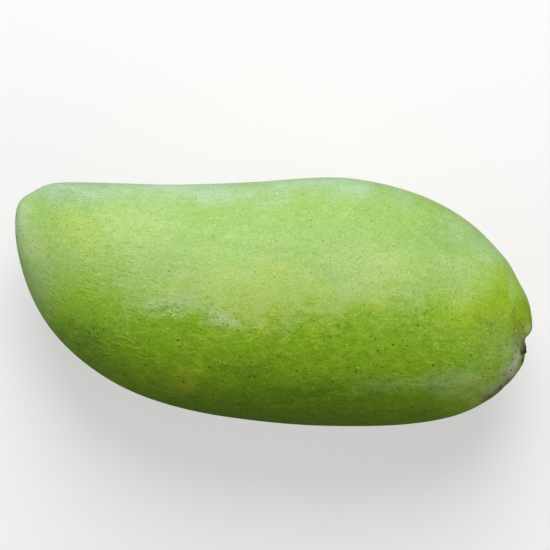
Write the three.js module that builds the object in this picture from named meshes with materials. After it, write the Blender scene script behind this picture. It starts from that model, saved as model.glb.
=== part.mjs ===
import * as THREE from "three";
import { mergeVertices } from "three/addons/utils/BufferGeometryUtils.js";

// A large green mango, as picked, lying on its broad side. Millimetres, +Z up.
// X runs along the fruit, from the beak end (-X) to the stem end (+X).
// Y runs across it, from the full back (-Y) to the front with its shallow hollow (+Y).
// Z is its thickness, and z = 0 is the surface that it lies on.

// Driving dimensions
const restHeight = 41; // middle plane above the surface; the skin below z = 0 is pressed flat
const squareness = 0.02; // how far the sections swell between their four extremes
const backShift = 0.04; // how far the widest part of a section sits towards the back
const stemCapRadius = 42; // rounding of the blunt stem end across the thickness
const stemLift = 5; // how far the stem sits above the middle plane
const stemReach = 8; // stations over which that rounding and lift fade out
const scar = { radius: 3.0, height: 0.8, edge: 1.3 }; // the low woody button left by the stalk
const segmentsAround = 64;
const segmentsAlong = 48;

// The outline seen from above, from the stem scar to the beak end.
// Each station has a point of the front outline, the matching point of the back outline
// and the half thickness of the fruit between them.
const stations = [
  { front: [102.5, -18.8], back: [102.5, -18.8], half: 0 },
  { front: [101.7, -15.3], back: [102.8, -22.0], half: 2.8 },
  { front: [104.8, -12.4], back: [102.0, -25.3], half: 6.1 },
  { front: [106.0, -8.4], back: [99.7, -28.9], half: 10.7 },
  { front: [104.9, -1.6], back: [95.3, -33.8], half: 16.8 },
  { front: [101.0, 7.2], back: [87.8, -40.2], half: 24.2 },
  { front: [92.7, 20.3], back: [75.4, -46.4], half: 31.6 },
  { front: [76.8, 35.3], back: [56.7, -50.1], half: 37.2 },
  { front: [53.8, 46.1], back: [33.3, -51.2], half: 40.5 },
  { front: [27.2, 51.1], back: [6.7, -50.2], half: 41.8 },
  { front: [-1.5, 49.8], back: [-19.6, -47.4], half: 41.4 },
  { front: [-32.3, 48.4], back: [-43.7, -42.1], half: 38.6 },
  { front: [-58.1, 48.6], back: [-64.2, -33.9], half: 33.2 },
  { front: [-79.4, 49.2], back: [-80.2, -23.0], half: 26.4 },
  { front: [-92.5, 48.4], back: [-91.3, -11.6], half: 19.3 },
  { front: [-100.7, 44.7], back: [-98.8, 0.7], half: 13.7 },
  { front: [-104.9, 40.3], back: [-103.6, 14.3], half: 8.4 },
  { front: [-106.1, 34.8], back: [-105.7, 24.5], half: 3.9 },
  { front: [-106.1, 29.8], back: [-106.1, 29.8], half: 0 },
];
const lastStation = stations.length - 1;

// One closed loop through all the points: out along the front, home along the back.
// The half thickness is kept in z and changes sign on the way home, so both ends are round.
function outlineLoop() {
  const outward = stations.map((s) => new THREE.Vector3(s.front[0], s.front[1], s.half));
  const homeward = stations.slice(1, lastStation).reverse();
  return outward.concat(homeward.map((s) => new THREE.Vector3(s.back[0], s.back[1], -s.half)));
}

// Control points whose uniform cubic B-spline passes through the given points.
function splineControls(points) {
  const count = points.length;
  let controls = points.map((p) => p.clone());
  for (let round = 0; round < 40; round += 1) {
    controls = controls.map((control, i) => {
      const before = controls[(i + count - 1) % count];
      const after = controls[(i + 1) % count];
      const onCurve = control.clone().multiplyScalar(4).add(before).add(after).divideScalar(6);
      return control.clone().add(points[i]).sub(onCurve);
    });
  }
  return controls;
}

const controls = splineControls(outlineLoop());

// A point of the closed spline; whole numbers of t are the stations.
function splinePoint(t) {
  const count = controls.length;
  const start = Math.floor(t);
  const w = t - start;
  const weights = [
    (1 - w) ** 3,
    3 * w ** 3 - 6 * w ** 2 + 4,
    -3 * w ** 3 + 3 * w ** 2 + 3 * w + 1,
    w ** 3,
  ];
  const point = new THREE.Vector3();
  weights.forEach((weight, i) => {
    point.addScaledVector(controls[(start - 1 + i + count) % count], weight / 6);
  });
  return point;
}

function smoothFall(distance, from, to) {
  return 1 - THREE.MathUtils.smoothstep(distance, from, to);
}

const scarCentre = new THREE.Vector3(stations[0].front[0], stations[0].front[1], stemLift);

// A point of the skin: station runs from 0 at the stem to lastStation at the beak end,
// angle runs round the section from the front outline by way of the top.
function skinPoint(station, angle) {
  const front = splinePoint(station);
  const back = splinePoint(2 * lastStation - station);
  const halfThickness = (front.z - back.z) / 2;
  const swell = 1 + squareness * Math.sin(2 * angle) ** 2;
  const across = Math.cos(angle) * swell - backShift * Math.sin(angle) ** 2;
  const nearStem = smoothFall(station, 0, stemReach);
  const point = new THREE.Vector3(
    (front.x + back.x) / 2 + ((front.x - back.x) / 2) * across,
    (front.y + back.y) / 2 + ((front.y - back.y) / 2) * across,
    halfThickness * Math.sin(angle) * swell + stemLift * nearStem,
  );
  const fromScar = point.distanceTo(scarCentre);
  point.x += scar.height * smoothFall(fromScar, scar.radius - scar.edge, scar.radius);
  point.x -= (point.z ** 2 / (2 * stemCapRadius)) * nearStem;
  point.z = Math.max(point.z + restHeight, 0);
  return point;
}

function fruitGeometry() {
  const geometry = new THREE.SphereGeometry(1, segmentsAround, segmentsAlong);
  const position = geometry.attributes.position;
  const uv = geometry.attributes.uv;
  for (let i = 0; i < position.count; i += 1) {
    const station = (1 - uv.getY(i)) * lastStation;
    const point = skinPoint(station, uv.getX(i) * 2 * Math.PI);
    position.setXYZ(i, point.x, point.y, point.z);
  }
  geometry.deleteAttribute("normal");
  geometry.deleteAttribute("uv");
  const closed = mergeVertices(geometry, 0.001);
  closed.computeVertexNormals();
  return closed;
}

const greenSkin = new THREE.MeshStandardMaterial({ color: 0x8bab4a, roughness: 0.5, metalness: 0 });

const mango = new THREE.Mesh(fruitGeometry(), greenSkin);
mango.name = "mango";

const fruit = new THREE.Group();
fruit.add(mango);

export default fruit;
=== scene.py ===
import bpy
import numpy as np
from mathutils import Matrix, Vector, noise


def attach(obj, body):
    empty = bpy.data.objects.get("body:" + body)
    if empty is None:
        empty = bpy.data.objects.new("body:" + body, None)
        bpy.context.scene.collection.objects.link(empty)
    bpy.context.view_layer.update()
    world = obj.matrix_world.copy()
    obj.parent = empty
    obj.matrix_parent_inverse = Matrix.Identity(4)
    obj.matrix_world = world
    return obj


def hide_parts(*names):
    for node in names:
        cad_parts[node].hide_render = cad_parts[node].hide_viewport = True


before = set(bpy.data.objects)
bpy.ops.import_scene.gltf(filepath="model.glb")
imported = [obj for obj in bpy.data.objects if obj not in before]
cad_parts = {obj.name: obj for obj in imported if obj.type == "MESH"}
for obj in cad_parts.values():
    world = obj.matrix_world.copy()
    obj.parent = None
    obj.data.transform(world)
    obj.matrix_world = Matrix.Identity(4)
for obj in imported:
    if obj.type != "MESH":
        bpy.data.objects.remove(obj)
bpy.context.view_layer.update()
print("frame loaded")

mm = 0.001  # shapes are written in millimetres and turned to metres here


# The fruit's shape

mango = {
    "around": 340,          # quads round each section
    "along": 400,           # quads from the stem to the beak end
    "restHeight": 41.0,     # middle plane above the surface it lies on
    "squareness": 0.02,     # swell of the sections between their four extremes
    "backShift": 0.04,      # widest part of a section, moved towards the back
    "stemCapRadius": 42.0,  # rounding of the blunt stem end
    "stemLift": 5.0,        # stem above the middle plane
    "stemReach": 8,         # stations over which that rounding and lift fade out
    "endCrowding": 0.25,    # 0 spaces the sections evenly, 1 follows the closer stations at both ends
    "grainRadius": 45.0,    # the skin's grain runs along lines of a cylinder this wide
}

# front outline x, y, back outline x, y and half thickness, from the stem scar to the beak end
stations = np.array([
    [102.5, -18.8, 102.5, -18.8, 0],
    [101.7, -15.3, 102.8, -22.0, 2.8],
    [104.8, -12.4, 102.0, -25.3, 6.1],
    [106.0, -8.4, 99.7, -28.9, 10.7],
    [104.9, -1.6, 95.3, -33.8, 16.8],
    [101.0, 7.2, 87.8, -40.2, 24.2],
    [92.7, 20.3, 75.4, -46.4, 31.6],
    [76.8, 35.3, 56.7, -50.1, 37.2],
    [53.8, 46.1, 33.3, -51.2, 40.5],
    [27.2, 51.1, 6.7, -50.2, 41.8],
    [-1.5, 49.8, -19.6, -47.4, 41.4],
    [-32.3, 48.4, -43.7, -42.1, 38.6],
    [-58.1, 48.6, -64.2, -33.9, 33.2],
    [-79.4, 49.2, -80.2, -23.0, 26.4],
    [-92.5, 48.4, -91.3, -11.6, 19.3],
    [-100.7, 44.7, -98.8, 0.7, 13.7],
    [-104.9, 40.3, -103.6, 14.3, 8.4],
    [-106.1, 34.8, -105.7, 24.5, 3.9],
    [-106.1, 29.8, -106.1, 29.8, 0],
])
lastStation = len(stations) - 1


def smoothFall(value, start, end):
    t = np.clip((value - start) / (end - start), 0, 1)
    return 1 - t * t * (3 - 2 * t)


def outlineControls():
    outward = stations[:, [0, 1, 4]]
    homeward = stations[-2:0:-1, [2, 3, 4]] * [1, 1, -1]
    points = np.vstack([outward, homeward])
    controls = points.copy()
    for _ in range(40):  # pulls the spline through the points
        onCurve = (np.roll(controls, 1, 0) + 4 * controls + np.roll(controls, -1, 0)) / 6
        controls += points - onCurve
    return controls


def curvePoint(controls, t):
    start = np.floor(t).astype(int)
    w = (t - start)[:, None]
    count = len(controls)
    weights = [(1 - w) ** 3, 3 * w**3 - 6 * w**2 + 4, -3 * w**3 + 3 * w**2 + 3 * w + 1, w**3]
    return sum(weight * controls[(start - 1 + i) % count] for i, weight in enumerate(weights)) / 6


def skinPoints(station, angle):
    controls = outlineControls()
    front = curvePoint(controls, station)[:, None, :]
    back = curvePoint(controls, 2 * lastStation - station)[:, None, :]
    angle = angle[None, :]
    swell = 1 + mango["squareness"] * np.sin(2 * angle) ** 2
    across = np.cos(angle) * swell - mango["backShift"] * np.sin(angle) ** 2
    nearStem = smoothFall(station, 0, mango["stemReach"])[:, None]
    x, y = [(front[..., k] + back[..., k]) / 2 + (front[..., k] - back[..., k]) / 2 * across
            for k in (0, 1)]
    halfThickness = (front[..., 2] - back[..., 2]) / 2
    z = halfThickness * np.sin(angle) * swell + mango["stemLift"] * nearStem
    x = x - z**2 / (2 * mango["stemCapRadius"]) * nearStem
    return np.stack([x, y, z], axis=-1)


def evenStations():
    fine = np.linspace(0, lastStation, 2000)  # close enough to measure lengths on
    ring = skinPoints(fine, np.array([0, np.pi / 2, np.pi, -np.pi / 2]))
    step = np.linalg.norm(np.diff(ring, axis=0), axis=-1).mean(axis=1)
    length = np.concatenate([[0], np.cumsum(step)])
    crowding = mango["endCrowding"]
    mixed = (1 - crowding) * length / length[-1] + crowding * fine / lastStation
    wanted = np.linspace(0, 1, mango["along"] + 1)
    return np.interp(wanted, mixed, fine), np.interp(wanted, mixed, length)


def outwardNormals(points):
    along = np.gradient(points, axis=0)
    around = np.roll(points, -1, axis=1) - np.roll(points, 1, axis=1)
    normals = np.cross(along, around)
    normals[0] = (1, 0, 0)
    normals[-1] = (-1, 0, 0)
    normals /= np.linalg.norm(normals, axis=-1, keepdims=True)
    outward = np.sign((normals * (points - points.mean(axis=(0, 1)))).sum(axis=-1).mean())
    normals[1:-1] *= outward
    return normals


# Relief of the skin

relief = {
    "lump": {"size": 26.0, "depth": 0.34},      # broad soft dents
    "ripple": {"length": 20.0, "width": 6.0, "depth": 0.07},
    "peel": {"size": 2.6, "depth": 0.025},
}

# a form is a low swelling, or a hollow where its swell is below zero: x, y of its middle and its
# height over the middle plane, how far it reaches across and in height, and how much it swells
fruitForms = [
    {"at": (96.5, 16.0, 0), "reach": (6.0, 16), "swell": 0.45},     # shoulder of the stem end
    {"at": (103.8, 3.0, 2), "reach": (4.5, 12), "swell": 0.3},
    {"at": (-98.7, 46.0, 0), "reach": (4.5, 12), "swell": -0.45},   # flat at the beak end
]

stemEnd = {
    "button": {"radius": 3.3, "height": 0.9, "edge": 1.8},
    "rimWaves": [(3, 0.07, 0.8), (7, 0.04, 0.0)],  # count, share of the radius, turn in radians
    "crumbs": [(0.55, 0.16), (1.3, 0.2)],          # size, height
    "pit": {"width": 0.9, "depth": 0.35},
    "moat": {"radius": 4.8, "width": 1.0, "depth": 0.15},
    "folds": {"count": 9, "height": 0.1, "start": 3.4, "full": 6.4, "end": 14.0},
    "foldWander": {"size": 6.0, "turn": 3.9},
    "forms": [
        {"at": (105.3, -12.3, 5), "reach": (2.2, 9), "swell": 0.35},    # lobe beside the scar
        {"at": (103.6, -15.4, 4), "reach": (1.7, 13), "swell": -1.35},  # notch between them
        {"at": (102.6, -17.8, 5), "reach": (1.5, 6), "swell": 0.35},    # upper half of the scar
        {"at": (103.2, -20.4, 5), "reach": (1.4, 6), "swell": -0.4},    # and its lower half
        {"at": (102.9, -22.4, 3), "reach": (2.4, 9), "swell": 0.45},    # lip on the other side
        {"at": (100.0, -28.3, 3), "reach": (4.2, 12), "swell": 0.42},
        {"at": (92.0, -37.5, 3), "reach": (6.0, 14), "swell": 0.35},
    ],
    # raised grey fold and the furrow beside it, on the upper side: x, y of their course
    "ridge": {"course": [(99.6, -19.8), (99.0, -23.0), (98.2, -27.2), (95.5, -32.0)],
              "width": 1.5, "height": 0.3},
    "furrow": {"course": [(101.6, -21.5), (101.1, -25.0), (99.6, -28.6)],
               "width": 1.1, "height": -0.35},
    "strokeFade": 5.0,  # height over the middle plane at which a stroke has its full depth
}


def noiseField(points, scale):
    flat = points.reshape(-1, 3) / scale
    values = [noise.noise(Vector(p)) for p in flat]
    return np.array(values).reshape(points.shape[:-1])


def strokeHeight(points, stroke):
    x, y, z = np.moveaxis(points, -1, 0)
    nearest = np.full(x.shape, 1e9)
    course = stroke["course"]
    for (ax, ay), (bx, by) in zip(course[:-1], course[1:]):
        lengthSquared = (bx - ax) ** 2 + (by - ay) ** 2
        t = np.clip(((x - ax) * (bx - ax) + (y - ay) * (by - ay)) / lengthSquared, 0, 1)
        nearest = np.minimum(nearest, np.hypot(x - ax - t * (bx - ax), y - ay - t * (by - ay)))
    fade = 1 - smoothFall(z, 0, stemEnd["strokeFade"])
    return stroke["height"] * np.exp(-(nearest / stroke["width"]) ** 2) * fade


def formHeight(points, form):
    across = np.linalg.norm(points[..., :2] - form["at"][:2], axis=-1) / form["reach"][0]
    up = (points[..., 2] - form["at"][2]) / form["reach"][1]
    return form["swell"] * np.exp(-across**2 - up**2)


def stemRelief(points):
    s = stemEnd
    shape, pit, moat, folds = s["button"], s["pit"], s["moat"], s["folds"]
    centre = np.array([stations[0, 0], stations[0, 1], mango["stemLift"]])
    away = points - centre
    distance = np.linalg.norm(away, axis=-1)
    turn = np.arctan2(away[..., 2], away[..., 1])
    waves = sum(share * np.sin(count * turn + start) for count, share, start in s["rimWaves"])
    rim = shape["radius"] * (1 + waves)
    button = smoothFall(distance, rim - shape["edge"], rim)
    crumb = sum(noiseField(points, size) * amount for size, amount in s["crumbs"])
    sunk = pit["depth"] * np.exp(-(distance / pit["width"]) ** 2)
    height = button * (shape["height"] + crumb - sunk)
    height -= moat["depth"] * np.exp(-((distance - moat["radius"]) / moat["width"]) ** 2)
    band = 1 - smoothFall(distance, folds["start"], folds["full"])
    band = band * smoothFall(distance, folds["full"], folds["end"])
    wander = s["foldWander"]["turn"] * noiseField(points, s["foldWander"]["size"])
    height += folds["height"] * band * np.cos(folds["count"] * turn + wander)
    height += strokeHeight(points, s["ridge"]) + strokeHeight(points, s["furrow"])
    height += sum(formHeight(points, form) for form in s["forms"] + fruitForms)
    return height, button


def makeMango():
    station, length = evenStations()
    angle = np.linspace(0, 2 * np.pi, mango["around"], endpoint=False)
    points = skinPoints(station, angle)
    normals = outwardNormals(points)

    radius = mango["grainRadius"]
    grain = np.empty_like(points)
    grain[..., 0] = length[:, None]
    grain[..., 1] = radius * np.cos(angle)
    grain[..., 2] = radius * np.sin(angle)

    lump, ripple, peel = relief["lump"], relief["ripple"], relief["peel"]
    rippleSpace = grain / [ripple["length"], ripple["width"], ripple["width"]]
    dent = lump["depth"] * (0.5 + 0.5 * noiseField(points, lump["size"]))
    dent += ripple["depth"] * (0.5 + 0.5 * noiseField(rippleSpace, 1.0))
    dent += peel["depth"] * (0.5 + 0.5 * noiseField(points, peel["size"]))
    stem, button = stemRelief(points)
    points = points + normals * (stem - dent * (1 - button))[..., None]
    points[..., 2] = np.maximum(points[..., 2] + mango["restHeight"], 0)

    # one vertex at each end, rings between them
    rings, around = mango["along"] - 1, mango["around"]
    ends = [points[0].mean(axis=0), points[-1].mean(axis=0)]
    vertices = np.vstack([ends[0], points[1:-1].reshape(-1, 3), ends[1]]) * mm

    def corner(ring, step):
        return 1 + ring * around + step % around

    faces = []
    for step in range(around):
        faces.append((0, corner(0, step), corner(0, step + 1)))
        faces.append((len(vertices) - 1, corner(rings - 1, step + 1), corner(rings - 1, step)))
    for ring in range(rings - 1):
        for step in range(around):
            faces.append((corner(ring, step), corner(ring + 1, step),
                          corner(ring + 1, step + 1), corner(ring, step + 1)))
    mesh = bpy.data.meshes.new("mangoFruit")
    mesh.from_pydata(vertices.tolist(), [], faces)
    mesh.shade_smooth()

    def onVertices(field, atStem, atBeak):
        return np.vstack([atStem, field[1:-1].reshape(-1, field.shape[-1]), atBeak])

    grainValues = onVertices(grain, grain[0].mean(axis=0), grain[-1].mean(axis=0)) * mm
    attribute = mesh.attributes.new("grain", "FLOAT_VECTOR", "POINT")
    attribute.data.foreach_set("vector", grainValues.ravel())
    woodValues = onVertices(button[..., None], [[1]], [[0]])
    attribute = mesh.attributes.new("wood", "FLOAT", "POINT")
    attribute.data.foreach_set("value", woodValues.ravel())

    fruit = bpy.data.objects.new("mangoFruit", mesh)
    bpy.context.collection.objects.link(fruit)
    return fruit


fruit = makeMango()
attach(fruit, "root")
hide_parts("mango")
print("fruit built")


# Shader helpers

def srgb(red, green, blue):
    def linear(v):
        v /= 255
        return v / 12.92 if v <= 0.04045 else ((v + 0.055) / 1.055) ** 2.4
    return (linear(red), linear(green), linear(blue), 1)


def addNode(tree, kind, inputs=None, **settings):
    node = tree.nodes.new("ShaderNode" + kind)
    for name, value in settings.items():
        setattr(node, name, value)
    for name, value in (inputs or {}).items():
        if isinstance(value, bpy.types.NodeSocket):
            tree.links.new(value, node.inputs[name])
        else:
            node.inputs[name].default_value = value
    return node


def calc(tree, operation, first, second=0.0, third=0.0, clamp=False):
    inputs = {0: first, 1: second, 2: third}
    return addNode(tree, "Math", inputs, operation=operation, use_clamp=clamp).outputs[0]


def mixColors(tree, factor, under, over, blend="MIX"):
    inputs = {0: factor, 6: under, 7: over}
    return addNode(tree, "Mix", inputs, data_type="RGBA", blend_type=blend).outputs[2]


def remap(tree, value, low, high, toLow=0.0, toHigh=1.0):
    inputs = {0: value, 1: low, 2: high, 3: toLow, 4: toHigh}
    return addNode(tree, "MapRange", inputs, interpolation_type="SMOOTHSTEP").outputs[0]


def noiseAt(tree, place, size, detail=2.0, roughness=0.5, colored=False):
    inputs = {"Vector": place, "Scale": 1 / (size * mm), "Detail": detail, "Roughness": roughness}
    return addNode(tree, "TexNoise", inputs).outputs["Color" if colored else "Fac"]


def newGroup(name, inputs, outputs):
    tree = bpy.data.node_groups.new(name, "ShaderNodeTree")
    for way, sockets in (("INPUT", inputs), ("OUTPUT", outputs)):
        for label, kind in sockets:
            tree.interface.new_socket(label, in_out=way, socket_type="NodeSocket" + kind)
    return tree, tree.nodes.new("NodeGroupInput"), tree.nodes.new("NodeGroupOutput")


def makeSoftSpotGroup():
    # 1 inside an oval spot of the surface, falling softly to 0 at its rim
    inputs = [("Place", "Vector"), ("Centre", "Vector"), ("Reach", "Vector"), ("Core", "Float")]
    tree, given, result = newGroup("softSpot", inputs, [("Mask", "Float")])
    offset = addNode(tree, "VectorMath", {0: given.outputs["Place"], 1: given.outputs["Centre"]},
                     operation="SUBTRACT").outputs[0]
    scaled = addNode(tree, "VectorMath", {0: offset, 1: given.outputs["Reach"]},
                     operation="DIVIDE").outputs[0]
    length = addNode(tree, "VectorMath", {0: scaled}, operation="LENGTH").outputs["Value"]
    tree.links.new(remap(tree, length, given.outputs["Core"], 1.0, 1.0, 0.0), result.inputs["Mask"])
    return tree


def makeSkinDotsGroup():
    # small round dots scattered through space, each with its own size and chance
    smallest, largest, core = 0.6, 1.2, 0.4  # of the radius
    inputs = [("Place", "Vector"), ("Cell", "Float"), ("Radius", "Float"), ("Share", "Float")]
    outputs = [("Mask", "Float"), ("Chance", "Float")]
    tree, given, result = newGroup("skinDots", inputs, outputs)
    scale = calc(tree, "DIVIDE", 1.0, given.outputs["Cell"])
    cells = addNode(tree, "TexVoronoi", {"Vector": given.outputs["Place"], "Scale": scale})
    chance = addNode(tree, "SeparateColor", {0: cells.outputs["Color"]})
    reach = calc(tree, "MULTIPLY", scale, given.outputs["Radius"])
    reach = calc(tree, "MULTIPLY", reach, remap(tree, chance.outputs[1], 0.0, 1.0, smallest, largest))
    inner = calc(tree, "MULTIPLY", reach, core)
    dot = remap(tree, cells.outputs["Distance"], inner, reach, 1.0, 0.0)
    kept = calc(tree, "LESS_THAN", chance.outputs[0], given.outputs["Share"])
    tree.links.new(calc(tree, "MULTIPLY", dot, kept), result.inputs["Mask"])
    tree.links.new(chance.outputs[2], result.inputs["Chance"])
    return tree


softSpotGroup = makeSoftSpotGroup()
skinDotsGroup = makeSkinDotsGroup()


def softSpot(tree, place, spot):
    inputs = {"Place": place, "Centre": [c * mm for c in spot["centre"]],
              "Reach": [r * mm for r in spot["reach"]], "Core": spot.get("core", 0.1)}
    mask = addNode(tree, "Group", inputs, node_tree=softSpotGroup).outputs["Mask"]
    return calc(tree, "MULTIPLY", mask, spot.get("strength", 1.0))


def anySpot(tree, place, spots):
    masks = [softSpot(tree, place, spot) for spot in spots]
    total = masks[0]
    for mask in masks[1:]:
        total = calc(tree, "MAXIMUM", total, mask)
    return total


def skinDots(tree, place, dots):
    inputs = {"Place": place, "Cell": dots["cell"] * mm, "Radius": dots["radius"] * mm,
              "Share": dots["share"]}
    group = addNode(tree, "Group", inputs, node_tree=skinDotsGroup)
    return group.outputs["Mask"], group.outputs["Chance"]


# Skin of the fruit

skin = {
    "leafGreen": srgb(120, 161, 6),
    "sunAndBounceGreen": srgb(149, 176, 24),      # yellower, where the sun fell on it; at the lower right end it is also painted light thrown up from below
    # deeper green; where its spots lie low in y it is also painted shade of the side away from the key
    # light
    "deepAndShadeGreen": srgb(98, 140, 6),
    # how far the places of spots wander, and those of what follows the grain
    "warps": [{"size": 30.0, "amount": 12.0}, {"size": 8.0, "amount": 3.0}],
    "grainWarps": [{"size": 4.0, "amount": 0.6}],
    "sunAndBounceSpots": [
        {"centre": (-74, 26, 68), "reach": (44, 20, 60), "strength": 0.5},
        {"centre": (-8, 4, 80), "reach": (75, 19, 60), "strength": 0.9},
        {"centre": (41, 9, 82), "reach": (30, 17, 60), "strength": 0.8},
        {"centre": (86, 3, 62), "reach": (30, 20, 50), "strength": 0.6},
        {"centre": (-40, -29, 62), "reach": (22, 8, 40), "strength": 0.9},
        # these two spots at the lower right end are also painted light thrown up from below
        {"centre": (92, -28, 56), "reach": (18, 14, 50), "strength": 0.6},
        {"centre": (76, -35, 56), "reach": (22, 11, 50), "strength": 1.0},
        {"centre": (102, -6, 50), "reach": (12, 24, 50), "strength": 0.5},
    ],
    "deepAndShadeSpots": [
        # painted shade as well as deeper green: the spots at y of -18 and below darken the lower side,
        # away from the key light
        {"centre": (17, -35, 65), "reach": (40, 10, 60), "strength": 0.9},
        {"centre": (-12, -27, 68), "reach": (20, 8, 60), "strength": 0.7},
        {"centre": (-76, -18, 50), "reach": (26, 20, 60), "strength": 0.9},
        {"centre": (57, -12, 66), "reach": (18, 12, 60), "strength": 0.1},
        {"centre": (73, -9, 60), "reach": (11, 9, 60), "strength": 0.4},
        {"centre": (90, 5, 60), "reach": (13, 9, 60), "strength": 0.55},
        {"centre": (-84, 46, 55), "reach": (26, 11, 60), "strength": 0.9},
        {"centre": (-78, -27, 50), "reach": (14, 10, 60), "strength": 0.8},
        {"centre": (-97, 12, 50), "reach": (11, 22, 60), "strength": 0.25},
        {"centre": (70, 30, 66), "reach": (24, 13, 60), "strength": 0.6},
    ],
    "rippleZone": {"centre": (-62, 2, 60), "reach": (62, 40, 80), "core": 0.3},
    "rippleOutside": 0.3,                # ripple height left outside that zone
    "calmRange": (0.4, 0.6),             # values of the broad noise between calm and full ripples
    "calmRipples": 0.2,                  # ripple height left in the calm places
    "rippleRange": (0.4, 0.74),          # only the stronger ripples stand out
    "bumpDepth": 0.175,
    "bumpShares": {"mottle": 0.3, "grit": 0.1, "paleDots": 0.2},
    "bumpUnderWax": 0.7,
    "roughness": 0.55,
    "specular": 0.31,
}

# pale wax over the skin, thickest on the side of the hollow, which is also the side towards the key
# light; there it is partly painted sheen of that light, and at the edges partly a painted rim reflection
bloomAndSheen = {
    "color": srgb(188, 203, 190),
    # bluer wax at the edges, partly a painted rim reflection
    "edgeWaxAndRimReflectionColor": srgb(192, 212, 212),
    "line": (-10.0, 4.0),        # y over which the wax and the painted sheen of the key light set in
    "share": 0.16,
    "tailLine": (-26.0, -4.0),   # y over which a last trace of it fades
    "tailShare": 0.02,
    "edgeLine": (37.0, 50.0),    # y over which it thickens towards the front edge, as wax and a painted rim reflection
    "edgeShare": 0.22,
    "leastShare": -0.02,         # below zero, so only the strongest grains of wax show on bare skin
    "spots": [
        {"centre": (-22, -5, 78), "reach": (17, 8, 60), "strength": 0.19},
        {"centre": (-40, -4, 72), "reach": (16, 8, 60), "strength": 0.2},
        {"centre": (-35, 10, 75), "reach": (34, 24, 60), "strength": 0.035},
        {"centre": (-54, 36, 68), "reach": (26, 19, 60), "strength": 0.1},
        {"centre": (-44, 50, 55), "reach": (17, 9, 60), "strength": 0.1},
        {"centre": (-48, 21, 72), "reach": (24, 10, 60), "strength": 0.05},
        {"centre": (36, 14, 80), "reach": (24, 14, 60), "strength": 0.08},
        {"centre": (8, -9, 78), "reach": (15, 6, 60), "strength": 0.1},
        {"centre": (86, 20, 60), "reach": (14, 9, 60), "strength": 0.12},
        # this spot on the right shoulder is wax and partly a painted highlight
        {"centre": (74, 14, 68), "reach": (12, 8, 60), "strength": 0.08},
        {"centre": (-10, 26, 78), "reach": (14, 26, 60), "strength": 0.03},
        {"centre": (42, -31, 66), "reach": (14, 7, 50), "strength": 0.12},
        # this spot at the lower right end is also painted light thrown up from below
        {"centre": (67, -32, 58), "reach": (31, 10, 50), "strength": 0.2},
        {"centre": (-60, 24, 70), "reach": (13, 9, 60), "strength": 0.06},
    ],
    "edgeSpots": [
        # wax and a painted rim reflection along the left end and the upper right edge
        {"centre": (-106, 34, 41), "reach": (15, 26, 60), "strength": 0.8},
        {"centre": (-103, 2, 41), "reach": (12, 30, 60), "strength": 0.22},
        {"centre": (-92, -13, 50), "reach": (10, 12, 60), "strength": 0.2},
        {"centre": (-93, -3, 50), "reach": (8, 10, 60), "strength": 0.3},
        {"centre": (84, 37, 50), "reach": (30, 22, 60), "strength": 0.6},
        {"centre": (68, 45, 50), "reach": (14, 8, 60), "strength": 0.4},
    ],
    "bareSpots": [
        {"centre": (-75, -2, 60), "reach": (31, 21, 60), "strength": 0.9},
        {"centre": (42, -1, 78), "reach": (22, 9, 60), "strength": 0.6},
        {"centre": (79, -3, 62), "reach": (26, 14, 60), "strength": 0.9},
        {"centre": (88, 3, 60), "reach": (17, 14, 60), "strength": 1.0},
        {"centre": (102, -6, 48), "reach": (13, 16, 60), "strength": 1.0},
        {"centre": (-76, 43, 55), "reach": (18, 8, 60), "strength": 0.2},
        {"centre": (-59, 3, 68), "reach": (15, 9, 60), "strength": 0.3},
        {"centre": (39, 44, 55), "reach": (13, 8, 60), "strength": 0.35},
    ],
    "fleckZones": [
        {"centre": (-85, -10, 50), "reach": (55, 46, 80), "core": 0.3, "strength": 0.5},
        {"centre": (70, -30, 55), "reach": (50, 24, 60), "core": 0.2, "strength": 0.8},
    ],
    "fleckOutside": 0.35,
    "fleckRange": (0.5, 0.72),   # noise values over which a fleck sets in
    "fleckShare": 0.09,
    "cover": 0.13,               # how much of the skin's own shade shows through it
    "dotsWhole": (0.3, 1.0),     # bareness over which the dots come to their full strength
}

# size in mm, and how far a noise is drawn out along the fruit
skinNoises = {
    "broad": {"size": 14.0, "detail": 2.0, "roughness": 0.5},
    "patch": {"size": 4.0, "detail": 3.0, "roughness": 0.6},
    "fleck": {"size": 2.5, "detail": 3.0, "roughness": 0.65, "stretch": 0.4},
    "mottle": {"size": 1.1, "detail": 2.0, "roughness": 0.6, "stretch": 0.45},
    "tint": {"size": 0.8, "detail": 2.0, "roughness": 0.7},
    "grit": {"size": 0.5, "detail": 1.0, "roughness": 0.5},
    "ripple": {"size": 1.4, "detail": 1.0, "roughness": 0.5, "stretch": 0.55},
}

usualSpread = 0.25  # how far a noise mostly strays from its middle

# how far each noise moves a quality of the skin
swings = {
    "bloomAndSheenLine": {"fleck": 3.5, "patch": 4.0},  # mm
    "sun": {"broad": 0.25, "patch": 0.15, "tint": 0.4},
    "bloomAndSheenShare": {"patch": 0.16, "fleck": 0.08},
    "bloomAndSheenGrains": {"mottle": 0.035, "grit": 0.09, "tint": 0.08},
    "shade": {"patch": 0.11, "fleck": 0.12, "mottle": 0.13, "grit": 0.05},
    "warmth": {"tint": 0.12, "fleck": 0.07},
    "roughness": {"mottle": 0.04},
}

# strength is the range from the faintest to the strongest dot; underWax is what is left of it there
dotKinds = {
    "pale": {"cell": 2.0, "radius": 0.42, "share": 0.9, "strength": (0.2, 0.75), "underWax": 0.45,
             "color": srgb(192, 198, 90)},
    "rust": {"cell": 2.8, "radius": 0.42, "share": 0.6, "strength": (0.15, 0.7), "underWax": 0.6,
             "color": srgb(150, 112, 60)},
    "dark": {"cell": 2.1, "radius": 0.48, "share": 0.8, "strength": (0.2, 1.0), "underWax": 0.55,
             "color": srgb(40, 48, 22)},
    "tiny": {"cell": 1.35, "radius": 0.31, "share": 0.9, "strength": (0.2, 0.85), "underWax": 0.65,
             "color": srgb(56, 74, 50)},
}

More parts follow.
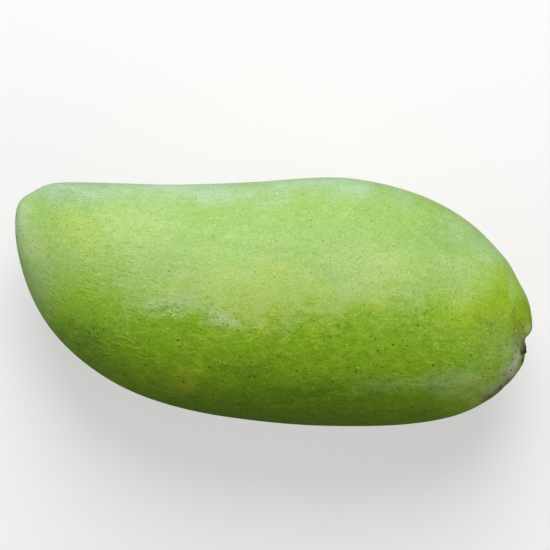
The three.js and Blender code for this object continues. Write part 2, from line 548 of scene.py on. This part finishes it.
# finish round the stem scar; a spot is x, y as seen from above, its reach in x and y, and its strength
scarFinish = {
    "wood": srgb(18, 12, 11),
    "woodLight": srgb(150, 74, 44),
    "woodRange": (0.25, 0.6),    # height of the button over which skin turns to wood
    "crumb": {"size": 0.8, "detail": 3.0, "roughness": 0.6},
    "crumbRange": (0.52, 0.7),
    "fray": {"size": 1.1, "detail": 3.0, "roughness": 0.7},
    "fraySwing": 0.9,            # how unevenly a stain lies on the skin
    "depth": 11.0,               # reach of every spot in height
    "stains": {
        "olive": {"color": srgb(112, 128, 4), "spots": [
            (98.5, -9.5, 9.0, 10.0, 0.75), (88.0, -9.0, 19.0, 15.0, 0.4), (83.5, -18.5, 6.0, 5.0, 0.4),
            (101.5, -3.0, 8.0, 9.0, 0.4)]},
        "haze": {"color": srgb(178, 178, 164), "spots": [
            (95.6, -28.5, 10.0, 12.0, 0.4), (96.0, -19.0, 7.0, 8.0, 0.16), (104.1, -11.0, 3.2, 3.6, 0.3),
            (102.9, -13.6, 2.8, 3.4, 0.3), (89.9, -34.9, 11.0, 6.0, 0.38)]},
        "lilac": {"color": srgb(196, 194, 196), "spots": [
            (99.0, -22.0, 2.4, 4.2, 0.45), (98.0, -25.0, 2.6, 4.4, 0.42), (96.6, -27.4, 3.2, 3.6, 0.3)]},
        "smudge": {"color": srgb(96, 84, 92), "spots": [
            (99.2, -16.4, 4.6, 7.0, 0.4), (101.2, -17.8, 2.8, 5.6, 0.8)]},
        "rim": {"color": srgb(104, 84, 68), "spots": [
            (96.2, -32.6, 5.0, 3.6, 0.95), (92.3, -35.8, 6.4, 3.8, 0.95), (88.2, -38.8, 7.0, 3.6, 0.85)]},
        "furrow": {"color": srgb(56, 74, 20), "spots": [(101.8, -23.6, 1.7, 3.8, 0.85)]},
        "bark": {"color": srgb(104, 48, 38), "spots": [(103.0, -22.2, 1.8, 2.8, 0.9)]},
        "char": {"color": srgb(16, 11, 10), "spots": [
            (102.9, -18.9, 2.8, 4.0, 1.6), (101.2, -20.5, 1.6, 1.8, 0.9)]},
    },
    "freckleSoftness": {"fade": 1.3, "core": 0.3, "strength": 0.85},
    # x, y as seen from above, radius
    "freckles": [
        {"color": srgb(44, 40, 34),
         "places": [(101.1, -10.3, 0.6), (96.7, -23.3, 0.55), (96.5, -27.6, 0.6), (97.1, -30.5, 0.4),
                    (100.6, -20.8, 0.8), (100.0, -19.4, 0.6), (95.6, -33.0, 0.7), (93.9, -33.9, 0.7),
                    (92.0, -34.5, 0.9), (94.9, -31.6, 0.5), (91.2, -32.4, 0.5), (98.6, -29.6, 0.5),
                    (89.7, -36.2, 0.6), (94.0, -29.7, 0.4), (99.1, -17.4, 0.5), (98.2, -20.1, 0.5),
                    (101.9, -14.4, 0.4), (96.6, -13.2, 0.4), (104.8, -8.2, 0.4), (105.3, -9.6, 0.5),
                    (90.6, -26.3, 0.5), (-96.8, 45.6, 0.5), (-105.2, 27.0, 0.6)]},
        {"color": srgb(176, 104, 74),
         "places": [(99.7, -11.4, 0.4), (100.1, -12.0, 0.4), (101.2, -12.2, 0.3), (104.1, -8.0, 0.4),
                    (100.3, -15.0, 0.4), (95.4, -17.1, 0.4), (98.4, -22.8, 0.4), (96.8, -31.8, 0.6),
                    (102.9, -22.6, 0.9), (101.6, -5.5, 0.35), (102.0, -2.6, 0.35)]},
    ],
    "roughnessAdded": 0.25,
}


def upperHalf():
    vertices = fruit.data.vertices
    places = np.empty(3 * len(vertices))
    vertices.foreach_get("co", places)
    places = places.reshape(-1, 3) / mm
    return places[places[:, 2] > mango["restHeight"]]


upperSkin = upperHalf()


def onTop(x, y):
    # the point of the upper skin that is seen at x, y from above
    nearest = np.hypot(upperSkin[:, 0] - x, upperSkin[:, 1] - y).argmin()
    return tuple(upperSkin[nearest])


def scaled(tree, vector, factors):
    return addNode(tree, "VectorMath", {0: vector, 1: factors}, operation="MULTIPLY").outputs[0]


def moved(tree, vector, offset):
    return addNode(tree, "VectorMath", {0: vector, 1: offset}, operation="ADD").outputs[0]


def warped(tree, place, warps):
    for warp in warps:
        wander = noiseAt(tree, place, warp["size"], colored=True)
        wander = moved(tree, wander, (-0.5, -0.5, -0.5))
        place = moved(tree, place, scaled(tree, wander, [2 * warp["amount"] * mm] * 3))
    return place


def fineNoises(tree, place, grain):
    # the fine unevenness of the skin; what is drawn out follows the grain along the fruit
    bent = warped(tree, grain, skin["grainWarps"])
    noises = {}
    for name, given in skinNoises.items():
        at = scaled(tree, bent, (given["stretch"], 1.0, 1.0)) if "stretch" in given else place
        noises[name] = noiseAt(tree, at, given["size"], given["detail"], given["roughness"])
    return noises


def swing(tree, noises, amounts, middle=0.0):
    # a value that swings round its middle, by about the amount given for each noise
    for name, amount in amounts.items():
        offset = calc(tree, "SUBTRACT", noises[name], 0.5)
        middle = calc(tree, "MULTIPLY_ADD", offset, amount / usualSpread, middle)
    return middle


def ramp(tree, value, limits, high=1.0):
    return remap(tree, value, limits[0] * mm, limits[1] * mm, 0.0, high)


def bareGreen(tree, softPlace, noises):
    # deeper green, also painted shade along the lower side
    deepAndShade = anySpot(tree, softPlace, skin["deepAndShadeSpots"])
    color = mixColors(tree, deepAndShade, skin["leafGreen"], skin["deepAndShadeGreen"])
    # yellower green where the sun fell, also painted light at the lower right end
    sun = calc(tree, "ADD", anySpot(tree, softPlace, skin["sunAndBounceSpots"]),
               swing(tree, noises, swings["sun"]), clamp=True)
    return mixColors(tree, sun, color, skin["sunAndBounceGreen"])


def bloomAndSheenCover(tree, softPlace, noises):
    # how much wax and painted sheen lie on the skin, how much of it is the bluer wax and painted rim
    # reflection of the edge, and how bare the skin is
    softY = addNode(tree, "SeparateXYZ", {0: softPlace}).outputs["Y"]
    edge = calc(tree, "MAXIMUM", ramp(tree, softY, bloomAndSheen["edgeLine"]),
                anySpot(tree, softPlace, bloomAndSheen["edgeSpots"]))
    y = calc(tree, "MULTIPLY_ADD", swing(tree, noises, swings["bloomAndSheenLine"]), mm, softY)
    waxAndSheenSide = ramp(tree, y, bloomAndSheen["line"])
    bare = remap(tree, waxAndSheenSide, 0.0, 1.0, 1.0, bloomAndSheen["cover"])
    kept = remap(tree, anySpot(tree, softPlace, bloomAndSheen["bareSpots"]), 0.0, 1.0, 1.0, 0.0)
    share = calc(tree, "MULTIPLY_ADD", waxAndSheenSide, bloomAndSheen["share"],
                 ramp(tree, y, bloomAndSheen["tailLine"], bloomAndSheen["tailShare"]))
    share = calc(tree, "ADD", share, anySpot(tree, softPlace, bloomAndSheen["spots"]))
    share = calc(tree, "MULTIPLY_ADD", edge, bloomAndSheen["edgeShare"], share)

    fleck = remap(tree, noises["fleck"], *bloomAndSheen["fleckRange"], 0.0, bloomAndSheen["fleckShare"])
    zone = anySpot(tree, softPlace, bloomAndSheen["fleckZones"])
    zone = remap(tree, zone, 0.0, 1.0, bloomAndSheen["fleckOutside"], 1.0)
    share = calc(tree, "MULTIPLY_ADD", fleck, zone, share)
    worn = calc(tree, "MULTIPLY", kept, swing(tree, noises, swings["bloomAndSheenShare"], 1.0))
    share = calc(tree, "MULTIPLY", share, worn)
    grains = swing(tree, noises, swings["bloomAndSheenGrains"], bloomAndSheen["leastShare"])
    share = calc(tree, "ADD", share, grains, clamp=True)
    return share, edge, bare


def stemStains(tree, place, color):
    fray = noiseAt(tree, place, *scarFinish["fray"].values())
    worn = swing(tree, {"fray": fray}, {"fray": scarFinish["fraySwing"]}, 1.0)
    depth = scarFinish["depth"]
    for stain in scarFinish["stains"].values():
        spots = [{"centre": onTop(x, y), "reach": (reachX, reachY, depth), "strength": strength}
                 for x, y, reachX, reachY, strength in stain["spots"]]
        mask = calc(tree, "MULTIPLY", anySpot(tree, place, spots), worn, clamp=True)
        color = mixColors(tree, mask, color, stain["color"])
    return color


def skinColor(tree, place, noises):
    softPlace = warped(tree, place, skin["warps"])
    color = bareGreen(tree, softPlace, noises)
    share, edge, bare = bloomAndSheenCover(tree, softPlace, noises)
    # wax colour with painted sheen, bluer at the edges as a painted rim reflection
    waxAndSheenColor = mixColors(tree, edge, bloomAndSheen["color"], bloomAndSheen["edgeWaxAndRimReflectionColor"])
    color = mixColors(tree, share, color, waxAndSheenColor)
    color = stemStains(tree, place, color)

    shade = calc(tree, "MULTIPLY_ADD", swing(tree, noises, swings["shade"]), bare, 1.0)
    warmth = swing(tree, noises, swings["warmth"], 1.0)
    tone = addNode(tree, "CombineColor", {0: calc(tree, "MULTIPLY", shade, warmth), 1: shade, 2: shade})
    color = mixColors(tree, 1.0, color, tone.outputs[0], "MULTIPLY")

    masks = {}
    for kind, dots in dotKinds.items():
        masks[kind], chance = skinDots(tree, place, dots)
        strength = remap(tree, chance, 0.0, 1.0, *dots["strength"])
        clear = remap(tree, bare, *bloomAndSheen["dotsWhole"], dots["underWax"], 1.0)
        strength = calc(tree, "MULTIPLY", strength, clear)
        color = mixColors(tree, calc(tree, "MULTIPLY", masks[kind], strength), color, dots["color"])
    return color, masks["pale"], bare


def scarColor(tree, place, wood, color):
    soft = scarFinish["freckleSoftness"]
    for freckles in scarFinish["freckles"]:
        spots = [{"centre": onTop(x, y), "reach": [soft["fade"] * radius] * 3, "core": soft["core"],
                  "strength": soft["strength"]} for x, y, radius in freckles["places"]]
        color = mixColors(tree, anySpot(tree, place, spots), color, freckles["color"])
    burnt = remap(tree, wood, *scarFinish["woodRange"])
    crumb = noiseAt(tree, place, *scarFinish["crumb"].values())
    crumb = remap(tree, crumb, *scarFinish["crumbRange"])
    woodColor = mixColors(tree, crumb, scarFinish["wood"], scarFinish["woodLight"])
    return mixColors(tree, burnt, color, woodColor), burnt


def makeSkinMaterial():
    material = bpy.data.materials.new("greenMangoSkin")
    material.use_nodes = True
    tree = material.node_tree
    shader = tree.nodes["Principled BSDF"]
    place = addNode(tree, "TexCoord").outputs["Object"]
    grain = addNode(tree, "Attribute", attribute_name="grain").outputs["Vector"]
    wood = addNode(tree, "Attribute", attribute_name="wood").outputs["Fac"]
    noises = fineNoises(tree, place, grain)
    color, pale, bare = skinColor(tree, place, noises)
    color, burnt = scarColor(tree, place, wood, color)
    tree.links.new(color, shader.inputs["Base Color"])

    roughness = swing(tree, noises, swings["roughness"], skin["roughness"])
    roughness = calc(tree, "MULTIPLY_ADD", burnt, scarFinish["roughnessAdded"], roughness)
    tree.links.new(roughness, shader.inputs["Roughness"])
    shader.inputs["Specular IOR Level"].default_value = skin["specular"]

    zone = softSpot(tree, place, skin["rippleZone"])
    zone = remap(tree, zone, 0.0, 1.0, skin["rippleOutside"], 1.0)
    rippled = remap(tree, noises["broad"], *skin["calmRange"], skin["calmRipples"], 1.0)
    rippled = calc(tree, "MULTIPLY", rippled, zone)
    height = calc(tree, "MULTIPLY", remap(tree, noises["ripple"], *skin["rippleRange"]), rippled)
    for source, share in ((noises["mottle"], "mottle"), (noises["grit"], "grit"), (pale, "paleDots")):
        height = calc(tree, "MULTIPLY_ADD", source, skin["bumpShares"][share], height)
    clear = remap(tree, bare, bloomAndSheen["cover"], 1.0, skin["bumpUnderWax"], 1.0)
    height = calc(tree, "MULTIPLY", height, clear)
    bump = addNode(tree, "Bump", {"Height": height, "Distance": skin["bumpDepth"] * mm})
    tree.links.new(bump.outputs["Normal"], shader.inputs["Normal"])
    return material


fruit.data.materials.append(makeSkinMaterial())
print("skin painted")


# Floor, light and camera

studio = {
    "floorSize": 4.0,
    "floorDrop": 0.2 * mm,           # keeps the floor clear of the fruit's flat
    "floorRoughness": 0.8,
    "floorColor": srgb(160, 160, 158),
    "floorDark": srgb(97, 97, 96),   # what the fruit sees of the floor, so little light comes up from it
    "floorGlow": (1, 1, 0.99, 1),
    "floorSeen": 0.5,                # glow that only the camera sees, so the floor stays pale
    "worldColor": (0.9, 0.95, 1.0, 1),
    "worldStrength": 0.07,
}

lights = {
    "keyLight": {"power": 25.0, "size": 1.1, "place": (0.05, 0.95, 1.12)},
    "backLight": {"power": 7.5, "size": 0.9, "place": (0.0, 1.4, 0.35)},
    "leftLight": {"power": 8.2, "size": 0.8, "place": (-1.3, 0.05, 0.35)},
    "rightLight": {"power": 6.8, "size": 0.8, "place": (1.2, -0.35, 0.4)},
}

camera = {
    "aim": (0.5 * mm, 11.0 * mm, 41.0 * mm),  # middle of the picture, on the fruit's middle plane
    "distance": 1.5,
    "frameWidth": 225.5 * mm,  # what the picture spans at that plane
    "sensorWidth": 36.0,
    "nearest": 0.05,
}

floorMesh = bpy.data.meshes.new("studioFloor")
half = studio["floorSize"] / 2
corners = [(-half, -half, 0), (half, -half, 0), (half, half, 0), (-half, half, 0)]
floorMesh.from_pydata(corners, [], [(0, 1, 2, 3)])
floor = bpy.data.objects.new("studioFloor", floorMesh)
floor.location.z = -studio["floorDrop"]
bpy.context.collection.objects.link(floor)
floorMaterial = bpy.data.materials.new("paleFloor")
floorMaterial.use_nodes = True
floorTree = floorMaterial.node_tree
floorShader = floorTree.nodes["Principled BSDF"]
floorShader.inputs["Roughness"].default_value = studio["floorRoughness"]
seen = addNode(floorTree, "LightPath").outputs["Is Camera Ray"]
floorTree.links.new(mixColors(floorTree, seen, studio["floorDark"], studio["floorColor"]),
                    floorShader.inputs["Base Color"])
floorShader.inputs["Emission Color"].default_value = studio["floorGlow"]
floorTree.links.new(calc(floorTree, "MULTIPLY", seen, studio["floorSeen"]),
                    floorShader.inputs["Emission Strength"])
floorMesh.materials.append(floorMaterial)


def addSoftLight(name, power, size, place):
    light = bpy.data.lights.new(name, "AREA")
    light.shape = "DISK"
    light.size = size
    light.energy = power
    lamp = bpy.data.objects.new(name, light)
    lamp.location = place
    aim = Vector((0, 0, mango["restHeight"] * mm)) - lamp.location
    lamp.rotation_euler = aim.to_track_quat("-Z", "Y").to_euler()
    bpy.context.collection.objects.link(lamp)


for name, light in lights.items():
    addSoftLight(name, light["power"], light["size"], light["place"])

world = bpy.data.worlds.new("softRoom")
world.use_nodes = True
sky = world.node_tree.nodes["Background"]
sky.inputs["Color"].default_value = studio["worldColor"]
sky.inputs["Strength"].default_value = studio["worldStrength"]
bpy.context.scene.world = world

lens = bpy.data.cameras.new("camera")
lens.sensor_width = camera["sensorWidth"]
lens.lens = camera["sensorWidth"] * camera["distance"] / camera["frameWidth"]
lens.clip_start = camera["nearest"]
viewer = bpy.data.objects.new("camera", lens)
viewer.location = Vector(camera["aim"]) + Vector((0, 0, camera["distance"]))
bpy.context.collection.objects.link(viewer)
bpy.context.scene.camera = viewer
bpy.context.scene.view_settings.view_transform = "Standard"
print("studio set")
